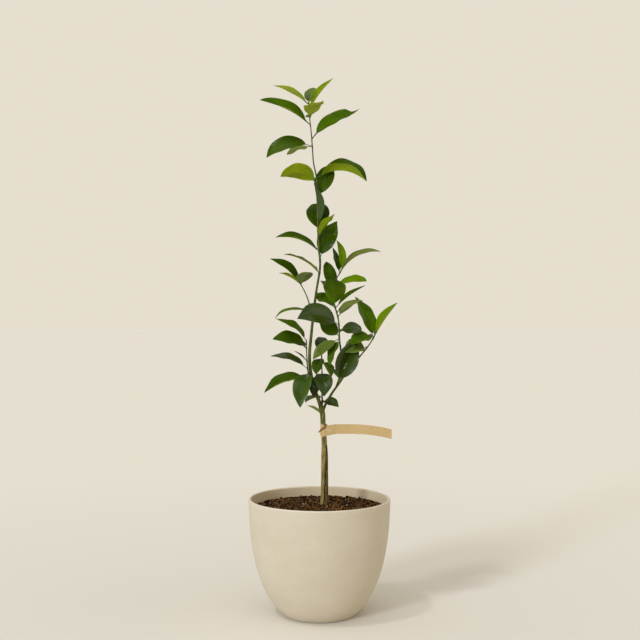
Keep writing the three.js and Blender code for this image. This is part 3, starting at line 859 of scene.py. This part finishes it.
def far_rows(shoot, draw):
    """For each leaf that points forwards, one that starts out along the same line but turned to the
    far side, with its blade edge-on to the front, so that the near one hides it."""
    rows = []
    for height, bearing, rise, long, wide, arch, _, looks in shoot["leaves"]:
        if bearing < 180:
            continue
        far = min(max(360 - bearing, FAR_NEAREST), 180 - FAR_NEAREST)
        reach = abs(cos(radians(far)) / cos(radians(bearing)))
        size = mix(*FAR_LENGTH, next(draw))
        lowest = shoot["way"][0][2] + FAR_LOWEST
        joint = max(height - mix(*FAR_DROP, next(draw)), lowest)
        back = sin(radians(far)) + reach * abs(sin(radians(bearing)))
        tilt = (height - EYE_LEVEL) / EYE_DISTANCE * back
        lifts = [tan(radians(rise + arch * (0.5 - share))) for share in (0, size * reach)]
        start, end = (degrees(atan(lift * reach + tilt)) for lift in lifts)
        middle = (start + end) / 2
        edge = degrees(atan(tan(radians(far)) * sin(radians(middle))))
        roll = min(max(edge, -FAR_ROLL), FAR_ROLL)
        looks = looks.split()[0] + " even"
        rows.append((joint, far, middle, long * size, wide * FAR_WIDTH, start - end, roll, looks))
    return rows


taken = []


def marks(leaf):
    """Places along a leaf, each with the room that the leaf takes up round it."""
    return [(on_line(leaf["line"], share)[0], leaf["wide"] * LEAF_ROOM) for share in LEAF_MARKS]


def keeps_off(leaf):
    """A leaf on the far side keeps off the limbs and off the other leaves."""
    return all((place - mark).length > other + room for mark, room in marks(leaf) for place, other in taken)


for limb in (TRUNK, RIGHT_BOUGH, CENTRE_BOUGH):
    steps = even_steps(way_of(limb), LIMB_STEP)
    for i in range(LIMB_MARKS + 1):
        place = steps[round(i / LIMB_MARKS * (len(steps) - 1))][0]
        taken.append((place, limb["radius"][0] * MM + LIMB_ROOM))

grown = {}
for name, shoot in SHOOTS.items():
    draw = draws(shoot["seed"])
    way = way_of(shoot)
    showing = [leaf_of(way, row, draw) for row in shoot["leaves"]]
    far = [leaf_of(way, row, draw) for row in far_rows(shoot, draw)]
    grown[name] = (showing, far)
for showing, _ in grown.values():
    for leaf in showing:
        taken += marks(leaf)
grown["inner"][0].append(leaf_of(way_of(TRUNK), FORK_LEAF, draws(INNER["seed"])))


def half_width(wide, share):
    """Half the blade's width at a share of its length."""
    low = (share / WIDEST) ** FULLNESS
    high = ((1 - share) / (1 - WIDEST)) ** (FULLNESS * (1 - WIDEST) / WIDEST)
    return wide / 2 * low * high


def stalk_ring(leaf, share, radius):
    place, side, up = on_line(leaf["line"], share)
    ring = []
    for i in range(2 * COLUMNS):
        angle = pi * (1 - (i + 0.5) / COLUMNS)
        ring.append(place + side * cos(angle) * radius + up * sin(angle) * radius)
    return ring


def leaf_rings(leaf, draw):
    """A round stalk that opens into a thin blade with a wavy edge and a raised rib underneath."""
    tip, wavy, folded, taper, hook = HABITS[leaf["habit"]]
    waves = [(mix(*EDGE_WAVES, next(draw)), next(draw) * tau) for _ in range(2)]
    swing = leaf["wide"] * mix(*EDGE_SWING, next(draw)) * wavy
    twist = radians(TWIST) * (2 * next(draw) - 1)
    fold = radians(leaf["fold"] + folded)
    stalk = leaf["stalk"]
    rings = [[leaf["line"][0][0]]]
    for share, radius in STALK_RINGS:
        rings.append(stalk_ring(leaf, share * stalk, radius * STALK_RADIUS))
    for station in STATIONS:
        place, side, up = on_line(leaf["line"], mix(stalk, 1, station))
        turn = twist * station
        side, up = side * cos(turn) + up * sin(turn), up * cos(turn) - side * sin(turn)
        end = max(0, station - TIP_FROM) / (1 - TIP_FROM)
        place = place + Vector((0, 0, leaf["long"] * tip * end ** (2 + 2 * hook)))
        half = half_width(leaf["wide"], station) * (1 - taper * end**1.3 * (1 - 0.4 * end))
        half *= 1 - hook * (1 - fading(end, *HOOK))
        half = max(half, STALK_RADIUS * min(1, 4 * (1 - station) + 0.2))
        rib = min(RIB * (1 - 0.8 * station), half * 0.2)
        outs = [-half * share for share in ACROSS] + [-rib, rib] + [half * share for share in ACROSS[::-1]]
        top, low = [], []
        for out in outs:
            share = abs(out) / half
            rate, phase = waves[out > 0]
            wave = swing * share**2 * sin(tau * rate * station + phase) * sin(pi * station)
            lift = half * sin(fold) * share * (1.35 - 0.5 * share) + wave
            at = place + side * out * cos(fold) + up * lift
            under = LEAF_THICKNESS * mix(1, 0.5, share)
            if abs(out) <= rib:
                at -= up * RIB_SUNK
                under = max(STALK_RADIUS * 1.2 * (1 - station) ** 0.7, LEAF_THICKNESS)
            top.append(at)
            low.append(at - up * under)
        rings.append(top + low[::-1])
    rings.append([on_line(leaf["line"], 1)[0] + Vector((0, 0, leaf["long"] * tip))])
    return rings


def leaf_uv():
    """Across and along the blade for each point of a leaf's rings."""
    across = [-share for share in ACROSS] + [-0.02, 0.02] + list(ACROSS[::-1])
    across = [(share + 1) / 2 for share in across]
    uv = [(0.5, 0)] * (1 + len(STALK_RINGS) * 2 * COLUMNS)
    for station in STATIONS:
        uv += [(share, station) for share in across + across[::-1]]
    return uv + [(0.5, 1)]


def leaf_slots(first):
    """The finish of each face of a leaf, in the order that its skin is made."""
    slots = []
    for j in range(2 * COLUMNS):
        rib = j % COLUMNS == len(ACROSS)
        face = first + 2 if rib else first if j < COLUMNS else first + 1
        slots += [0] * len(STALK_RINGS) + [face] * BLADE_RINGS
    return slots


def leaf_finish(name, base, roughness, gloss, pale):
    """An even green, a little mottled, with paler side veins that leave the rib at a slant."""
    made = material(name, base, roughness, gloss)
    nodes = made.node_tree.nodes
    cells = cloudy(made, 260, 4, 0.65)
    drift = cloudy(made, 22, 2, 0.5)
    mottle = ramp(made, cells, [(0.3, shifted(base, -0.14)), (0.7, shifted(base, 0.14))])
    drifts = ramp(made, drift, [(0.34, [0.66, 0.7, 0.74, 1]), (0.66, [1.28, 1.24, 1.14, 1])])
    green = blend(made, 1, mottle, drifts)
    place = nodes.new("ShaderNodeUVMap")
    place.uv_map = "UVMap"
    across, along, _ = split_place(made, place.outputs["UV"])
    steps = [("SUBTRACT", 0.5), ("ABSOLUTE", 0), ("MULTIPLY", -VEIN_SLANT), ("ADD", along),
             ("MULTIPLY", VEINS * tau), ("COSINE", 0), ("MULTIPLY", 0.5), ("ADD", 0.5), ("POWER", 5)]
    value, margin = across, None
    for operation, other in steps:
        node = nodes.new("ShaderNodeMath")
        node.operation = operation
        feed(made, value, node.inputs[0])
        feed(made, other, node.inputs[1])
        value = node.outputs["Value"]
        margin = value if operation == "ABSOLUTE" else margin
    edges = ramp(made, margin, [(0.42, grey(1)), (0.5, [1.5, 1.4, 1.5, 1])])
    green = blend(made, 1, green, edges)
    veins = ramp(made, value, [(0, grey(1)), (1, grey(pale))])
    paint(made, blend(made, 1, green, veins))
    sunk = ramp(made, value, [(0, grey(1)), (1, grey(0))])
    relief(made, cells, 0.07 * MM, relief(made, sunk, 0.16 * MM))
    return made


stem_finish = material("green stem", rgb(84, 98, 34), 0.6, 0.2)
lines = cloudy(stem_finish, 1, 4, 0.6, (700, 700, 90))
paint(stem_finish, ramp(stem_finish, lines, [
    (0.33, rgb(40, 52, 10)), (0.5, rgb(66, 82, 20)), (0.7, rgb(108, 120, 44)),
]))
relief(stem_finish, lines, 0.25 * MM)
leaf_finishes = [stem_finish]
tone_slots = {}
for tone, (above, below, gloss) in LEAF_TONES.items():
    tone_slots[tone] = len(leaf_finishes)
    leaf_finishes += [
        leaf_finish(tone + " leaf face", rgb(*above), 0.2, gloss, 1.26),
        leaf_finish(tone + " leaf back", rgb(*below), 0.65, 0.08, 1.1),
        leaf_finish(tone + " leaf rib", shifted(rgb(*above), 0.55), 0.5, gloss, 1.1),
    ]


def stem_thickness(shoot, joints):
    """An angular young stem, a little thicker at each joint."""
    def thickness(centre, out, share):
        swell = sum(exp(-(((centre.z - joint) / JOINT_SPREAD) ** 2)) for joint in joints)
        ridge = RIDGE_SHARE * cos(STEM_RIDGES * atan2(out.y, out.x) + centre.z * STEM_TURNS)
        plain = mix(*shoot["radius"], share) * MM
        end = min(1, (1 - share) * 40 + 0.35)
        return (plain * (1 + ridge) + JOINT_SWELL * min(swell, 1)) * end
    return thickness


def bud(leaf, radius):
    """A pointed bud that stands in the angle between a leaf's stalk and the stem."""
    joint, side, up = leaf["line"][0]
    along = side.cross(up)
    root = joint - along * radius * 0.9 + Vector((0, 0, BUD_UP))
    lean = (Vector((0, 0, 1)) - along * BUD_LEAN).normalized()
    across = lean.orthogonal().normalized()
    other = lean.cross(across)
    rings = [[root]]
    for share, wide in BUD_RINGS:
        centre = root + lean * share * BUD_LONG
        rings.append([
            centre + (across * cos(a) + other * sin(a)) * wide * MM
            for a in (tau * k / BUD_SIDES for k in range(BUD_SIDES))
        ])
    return rings + [[root + lean * BUD_LONG]]


for name, shoot in SHOOTS.items():
    showing, far = grown[name]
    kept = []
    for leaf in far:
        if keeps_off(leaf):
            taken += marks(leaf)
            kept.append(leaf)
    draw = draws(shoot["seed"] + 1)
    points, faces, slots, uv = [], [], [], []
    for leaf in showing + kept:
        skin(leaf_rings(leaf, draw), points, faces)
        slots += leaf_slots(tone_slots[leaf["tone"]])
        uv += leaf_uv()
    leaves = new_piece(name + "_leaves", points, faces, leaf_finishes, slots, uv)
    smooth(leaves, 50)
    points, faces = [], []
    joints = [leaf["line"][0][0].z for leaf in showing + kept]
    skin(limb_rings(way_of(shoot), STEM_STEP, STEM_SIDES, stem_thickness(shoot, joints)), points, faces)
    for leaf in showing + kept:
        skin(bud(leaf, shoot["radius"][1] * MM), points, faces)
    stem = new_piece(name + "_stem", points, faces, [stem_finish])
    smooth(stem, 60)
    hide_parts(name + "_foliage")
    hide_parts(name + "_foliage")
    for piece in (leaves, stem):
        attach(piece, "root")

# Tag: one blank strip of brown kraft paper, slit at the trunk. Its upper half lies across the bark,
# its lower half goes once round below it, and the tip crosses the front again and sticks out left.
# The tip is painted in darker kraft as painted shade.
TAG_LOW = 320.6 * MM
TAG_TOP = 337.9 * MM
PAPER = 0.35 * MM
TAG_CENTRE = Vector((7.3, 0)) * MM
TAG_SPLIT = 29.5 * MM
TAG_REACH = 130 * MM
DROOP = 10 * MM
DROOP_FROM = 55 * MM
FLAG_CURVE = 7 * MM
PAPER_WAVE = 0.5 * MM
TAG_FORWARD = 0.6 * MM
STRIP_STEPS = 120
STRIP_ROWS = 10
TURN_STEP = 6
PAPER_WAVES = 75
FLAG_PARTS = 60
SLIT_PARTS = 12
TIP_SHADE_FROM = 0.65
# The two halves as they lie round the trunk: the angle from the right, how far out, and the lower
# and the upper edge
UPPER_HALF = ((-50, 6.0, 330.4, 335.8), (-90, 5.7, 329.6, 337.2), (-130, 5.6, 328.7, 338.4),
              (-180, 5.6, 328.7, 337.8), (-235, 5.5, 329.4, 336.8), (-290, 5.3, 330.5, 336))
LOWER_HALF = ((-58, 6.5, 317.2, 329.6), (-90, 6.2, 316.4, 329.9), (-130, 6.0, 316.6, 328.6),
              (-180, 5.8, 318, 327.6), (-270, 6.0, 323, 331), (-350, 6.4, 331, 338),
              (-400, 6.6, 333, 338.6), (-450, 7.0, 329, 334.4), (-500, 7.2, 324.6, 329.6),
              (-525, 7.8, 323.2, 326.2), (-538, 9.6, 322.7, 323.3))


def kraft_paper(name, base, dark, light):
    """Kraft paper: fibres along the strip and a few dark flecks."""
    made = material(name, base, 0.88, 0.25)
    fibres = cloudy(made, 1, 5, 0.7, (260, 260, 1400))
    flecks = cloudy(made, 1500, 2, 0.6)
    tone = ramp(made, fibres, [(0.3, dark), (0.7, light)])
    spots = ramp(made, flecks, [(0.34, grey(0.5)), (0.5, grey(1))])
    paint(made, blend(made, 0.3, tone, spots))
    relief(made, fibres, 0.06 * MM)
    return made


kraft = kraft_paper("kraft paper", rgb(196, 166, 112), rgb(182, 152, 98), rgb(214, 186, 134))
# Darker kraft for the tip of the lower half: painted shade.
shaded_kraft = kraft_paper("kraft paper painted shade", rgb(134, 104, 54), rgb(112, 84, 40), rgb(152, 122, 70))


def beside_trunk(angle, out):
    """A place round the trunk, seen from above."""
    turn = radians(angle)
    return TAG_CENTRE + Vector((cos(turn), sin(turn))) * out * MM


def wound(start, half):
    """Sections of a half from a start beside the trunk and on round it, each with its two edges."""
    sections = []
    angle, out, low, top = half[0]
    for i in range(SLIT_PARTS):
        share = i / SLIT_PARTS
        place = start[0].lerp(beside_trunk(angle, out), share)
        sections.append((place, mix(start[1], low * MM, share), mix(start[2], top * MM, share)))
    for here, there in zip(half, half[1:]):
        count = max(3, int((here[0] - there[0]) / TURN_STEP))
        for i in range(count):
            angle, out, low, top = (mix(a, b, i / count) for a, b in zip(here, there))
            sections.append((beside_trunk(angle, out), low * MM, top * MM))
    angle, out, low, top = half[-1]
    return sections + [(beside_trunk(angle, out), low * MM, top * MM)]


def flag_sections():
    """The strip from its long end, which droops, to where it is slit."""
    sections = []
    for i in range(FLAG_PARTS):
        x = mix(TAG_REACH, TAG_SPLIT, i / FLAG_PARTS)
        out = max(0, x - DROOP_FROM) / (TAG_REACH - DROOP_FROM)
        drop = DROOP * out * out
        sections.append((Vector((x, FLAG_CURVE * out * out)), TAG_LOW - drop, TAG_TOP - drop))
    return sections


def paper_strip(name, sections, painted_shade_from=1):
    """A flat grid laid along the sections and given the paper's thickness."""
    bpy.ops.mesh.primitive_grid_add(x_subdivisions=STRIP_STEPS, y_subdivisions=STRIP_ROWS, size=1)
    strip = bpy.context.object
    strip.name = name
    strip.data.materials.append(kraft)
    strip.data.materials.append(shaded_kraft)
    for face in strip.data.polygons:
        face.material_index = int(face.center.x + 0.5 > painted_shade_from)
    for vertex in strip.data.vertices:
        at = (vertex.co.x + 0.5) * (len(sections) - 1)
        i = min(int(at), len(sections) - 2)
        (place, low, top), (place2, low2, top2) = sections[i], sections[i + 1]
        place = place.lerp(place2, at - i)
        across = vertex.co.y + 0.5
        z = mix(mix(low, low2, at - i), mix(top, top2, at - i), across)
        wave = PAPER_WAVE * sin(place.x * PAPER_WAVES) * (across - 0.4) if place.x > 0.5 * TAG_SPLIT else 0
        vertex.co = Vector((place.x, place.y - wave, z))
    thicken = strip.modifiers.new("paper", "SOLIDIFY")
    thicken.thickness = PAPER
    thicken.offset = 0
    bpy.ops.object.modifier_apply(modifier=thicken.name)
    bpy.ops.object.mode_set(mode="EDIT")
    bpy.ops.mesh.select_all(action="SELECT")
    bpy.ops.mesh.normals_make_consistent(inside=False)
    bpy.ops.object.mode_set(mode="OBJECT")
    return strip


upper_start = (Vector((TAG_SPLIT, 0)), TAG_LOW, TAG_TOP)
lower_start = (Vector((TAG_SPLIT, -TAG_FORWARD)), TAG_LOW, TAG_LOW + TAG_FORWARD)
tag = paper_strip("paper_tag", flag_sections() + wound(upper_start, UPPER_HALF))
lower_half = paper_strip("lower_half", wound(lower_start, LOWER_HALF), TIP_SHADE_FROM)
alone(tag)
lower_half.select_set(True)
bpy.ops.object.join()
smooth(tag, 40)
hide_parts("tag")
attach(tag, "root")

# Studio: a plain pale floor that runs out to a horizon of its own colour, and soft light from the
# pale room all round. A low cool light comes from the front left, as of a window, with a broad one
# above, a small high one that puts glints on the leaves, and a weak one from the right.
HORIZON = rgb(230, 223, 208)
CEILING = 0.32
FLOOR_SIZE = 90
FLOOR_SPREAD = 0.6
NEAR_DARKER = -0.07
ROOM_ON_FLOOR = 0.54
FLOOR_LEVEL = 0.985
LENS = 55.7
CAMERA_BACK = 1.775
CAMERA_HEIGHT = 0.5287
CAMERA_ACROSS = 0.001
CAMERA_DIP = 0.13

bpy.context.scene.view_settings.view_transform = "Standard"
room = bpy.data.worlds.new("studio room")
room.use_nodes = True
nodes = room.node_tree.nodes
upward = split_place(room, nodes.new("ShaderNodeTexCoord").outputs["Generated"])["Z"]
dusk = ramp(room, upward, [(0.3, HORIZON), (0.75, shifted(HORIZON, CEILING - 1))])
feed(room, dusk, nodes["Background"].inputs["Color"])
bpy.context.scene.world = room

lamps_on_floor = [0, 0, 0]
for name, share, lift, turn, softness, tint in (
    ("window light", 0.49, 16, 39, 13, (0.9, 1.0, 1.18)),
    ("top light", 0.28, 80, 20, 70, (1, 1, 1)),
    ("glint light", 0.12, 62, 50, 4, (1, 1, 1)),
    ("side light", 0.1, 8, -78, 50, (1, 0.98, 0.94)),
):
    falls = share * sin(radians(lift)) * (1 + cos(radians(softness / 2))) / 2
    lamps_on_floor = [lamps + falls * part for lamps, part in zip(lamps_on_floor, tint)]
    lamp = bpy.data.lights.new(name, "SUN")
    lamp.energy = share * pi
    lamp.angle = radians(softness)
    lamp.color = tint
    placed(name, lamp).rotation_euler = (radians(90 - lift), 0, radians(-turn))

# The floor's own colour, such that it comes out like the horizon under the room and the lamps
ground = [
    part * FLOOR_LEVEL / (part * ROOM_ON_FLOOR + lamps) for part, lamps in zip(HORIZON, lamps_on_floor)
] + [1]
paper_floor = material("pale floor", ground, 1, 0)
away = pattern(paper_floor, "ShaderNodeTexGradient", (FLOOR_SPREAD, FLOOR_SPREAD, 1))
away.node.gradient_type = "SPHERICAL"
# The floor is painted darker towards the middle, round the pot: painted shade.
paint(paper_floor, ramp(paper_floor, away, [(0, ground), (0.85, shifted(ground, NEAR_DARKER))]))
bpy.ops.mesh.primitive_plane_add(size=FLOOR_SIZE)
floor = bpy.context.object
floor.name = "floor"
floor.data.materials.append(paper_floor)

lens = bpy.data.cameras.new("camera")
lens.sensor_width = 36
lens.lens = LENS
lens.clip_end = 200
camera = placed("camera", lens)
camera.location = (CAMERA_ACROSS, -CAMERA_BACK, CAMERA_HEIGHT)
camera.rotation_euler = (radians(90 - CAMERA_DIP), 0, 0)
bpy.context.scene.camera = camera
